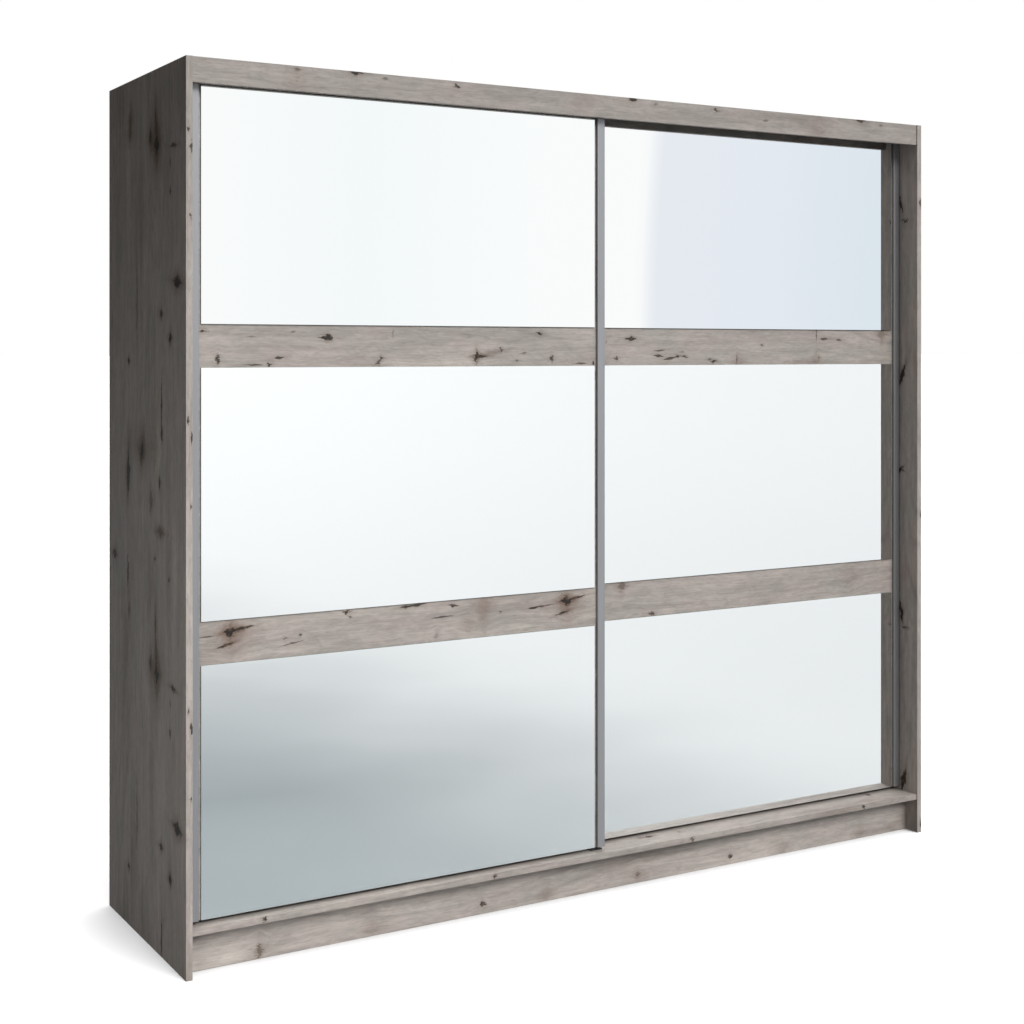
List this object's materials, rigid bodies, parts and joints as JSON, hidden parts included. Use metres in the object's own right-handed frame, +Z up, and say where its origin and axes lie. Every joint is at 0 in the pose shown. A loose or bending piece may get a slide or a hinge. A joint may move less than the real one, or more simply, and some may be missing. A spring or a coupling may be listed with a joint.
{
  "type": "sliding door wardrobe",
  "caption": "Wide wardrobe with oak decor carcass and sliding mirrored doors that hang from a double top track behind a fascia.",
  "frame": {"origin": "on the floor, at the middle of the footprint", "axes": "+Z up, the doors face -Y, +X to the right as seen from the front"},
  "size_m": [2.33, 0.6, 2.15],
  "materials": {
    "oak_decor": "satin grey-brown rustic oak decor foil",
    "hardboard": "printed hardboard back",
    "mirror": "silvered float glass",
    "anodised_aluminium": "satin anodised",
    "zinc_plated_steel": "zinc plated",
    "chrome": "polished",
    "beech": "raw fluted dowel",
    "black_plastic": "moulded",
    "white_plastic": "moulded",
    "wheel_plastic": "turned acetal wheels on a steel axle",
    "rubber": "soft stop"
  },
  "bodies": {
    "carcass": {"side_panel_left": "oak_decor", "side_panel_right": "oak_decor", "top_panel": "oak_decor", "bottom_panel": "oak_decor", "top_fascia": "oak_decor", "plinth_front": "oak_decor", "plinth_rear": "oak_decor", "plinth_brace": "oak_decor", "centre_partition": "oak_decor", "back_sheet_left": "hardboard", "back_sheet_right": "hardboard", "back_joint_strip": "white_plastic", "hat_shelf_left": "oak_decor", "hat_shelf_right": "oak_decor", "shelf_pins": "zinc_plated_steel", "hanging_rail_left": "chrome", "hanging_rail_right": "chrome", "rail_sockets": "chrome", "rail_socket_screws": "zinc_plated_steel", "cam_locks": "zinc_plated_steel", "cam_bolts": "zinc_plated_steel", "wooden_dowels": "beech", "corner_blocks": "black_plastic", "back_nails": "zinc_plated_steel", "wall_brackets": "zinc_plated_steel", "wall_bracket_screws": "zinc_plated_steel", "top_track": "anodised_aluminium", "track_screws": "zinc_plated_steel", "track_buffers": "rubber", "bottom_guide": "black_plastic", "guide_screws": "zinc_plated_steel"},
    "left_door": {"left_door_board": "oak_decor", "left_door_mirror_top": "mirror", "left_door_mirror_middle": "mirror", "left_door_mirror_bottom": "mirror", "left_door_profile_outer": "anodised_aluminium", "left_door_profile_inner": "anodised_aluminium", "left_door_hanger_brackets": "zinc_plated_steel", "left_door_hanger_screws": "zinc_plated_steel", "left_door_hanger_bolts": "zinc_plated_steel", "left_door_carriages": "white_plastic"},
    "left_door_wheels_1": {"left_door_wheels_1": "wheel_plastic"},
    "left_door_wheels_2": {"left_door_wheels_2": "wheel_plastic"},
    "left_door_wheels_3": {"left_door_wheels_3": "wheel_plastic"},
    "left_door_wheels_4": {"left_door_wheels_4": "wheel_plastic"},
    "right_door": {"right_door_board": "oak_decor", "right_door_mirror_top": "mirror", "right_door_mirror_middle": "mirror", "right_door_mirror_bottom": "mirror", "right_door_profile_outer": "anodised_aluminium", "right_door_profile_inner": "anodised_aluminium", "right_door_hanger_brackets": "zinc_plated_steel", "right_door_hanger_screws": "zinc_plated_steel", "right_door_hanger_bolts": "zinc_plated_steel", "right_door_carriages": "white_plastic"},
    "right_door_wheels_1": {"right_door_wheels_1": "wheel_plastic"},
    "right_door_wheels_2": {"right_door_wheels_2": "wheel_plastic"},
    "right_door_wheels_3": {"right_door_wheels_3": "wheel_plastic"},
    "right_door_wheels_4": {"right_door_wheels_4": "wheel_plastic"}
  },
  "joints": [
    {"name": "left_door_slide", "type": "slide", "parent": "carcass", "child": "left_door", "axis": [1, 0, 0], "range_m": [0, 1.125]},
    {"name": "left_door_wheels_1_spin", "type": "hinge", "parent": "left_door", "child": "left_door_wheels_1", "pos_m": [-1.12, -0.249, 2.1188], "axis": [0, 1, 0], "range_deg": [0, 7590]},
    {"name": "left_door_wheels_2_spin", "type": "hinge", "parent": "left_door", "child": "left_door_wheels_2", "pos_m": [-1.084, -0.249, 2.1188], "axis": [0, 1, 0], "range_deg": [0, 7590]},
    {"name": "left_door_wheels_3_spin", "type": "hinge", "parent": "left_door", "child": "left_door_wheels_3", "pos_m": [-0.0415, -0.249, 2.1188], "axis": [0, 1, 0], "range_deg": [0, 7590]},
    {"name": "left_door_wheels_4_spin", "type": "hinge", "parent": "left_door", "child": "left_door_wheels_4", "pos_m": [-0.0055, -0.249, 2.1188], "axis": [0, 1, 0], "range_deg": [0, 7590]},
    {"name": "right_door_slide", "type": "slide", "parent": "carcass", "child": "right_door", "axis": [1, 0, 0], "range_m": [-1.125, 0]},
    {"name": "right_door_wheels_1_spin", "type": "hinge", "parent": "right_door", "child": "right_door_wheels_1", "pos_m": [0.0055, -0.2, 2.1188], "axis": [0, 1, 0], "range_deg": [-7590, 0]},
    {"name": "right_door_wheels_2_spin", "type": "hinge", "parent": "right_door", "child": "right_door_wheels_2", "pos_m": [0.0415, -0.2, 2.1188], "axis": [0, 1, 0], "range_deg": [-7590, 0]},
    {"name": "right_door_wheels_3_spin", "type": "hinge", "parent": "right_door", "child": "right_door_wheels_3", "pos_m": [1.084, -0.2, 2.1188], "axis": [0, 1, 0], "range_deg": [-7590, 0]},
    {"name": "right_door_wheels_4_spin", "type": "hinge", "parent": "right_door", "child": "right_door_wheels_4", "pos_m": [1.12, -0.2, 2.1188], "axis": [0, 1, 0], "range_deg": [-7590, 0]}
  ],
  "couplings": [
    {"joint": "left_door_wheels_1_spin", "follows": "left_door_slide", "rad_per_m": 117.65},
    {"joint": "left_door_wheels_2_spin", "follows": "left_door_slide", "rad_per_m": 117.65},
    {"joint": "left_door_wheels_3_spin", "follows": "left_door_slide", "rad_per_m": 117.65},
    {"joint": "left_door_wheels_4_spin", "follows": "left_door_slide", "rad_per_m": 117.65},
    {"joint": "right_door_wheels_1_spin", "follows": "right_door_slide", "rad_per_m": 117.65},
    {"joint": "right_door_wheels_2_spin", "follows": "right_door_slide", "rad_per_m": 117.65},
    {"joint": "right_door_wheels_3_spin", "follows": "right_door_slide", "rad_per_m": 117.65},
    {"joint": "right_door_wheels_4_spin", "follows": "right_door_slide", "rad_per_m": 117.65}
  ]
}
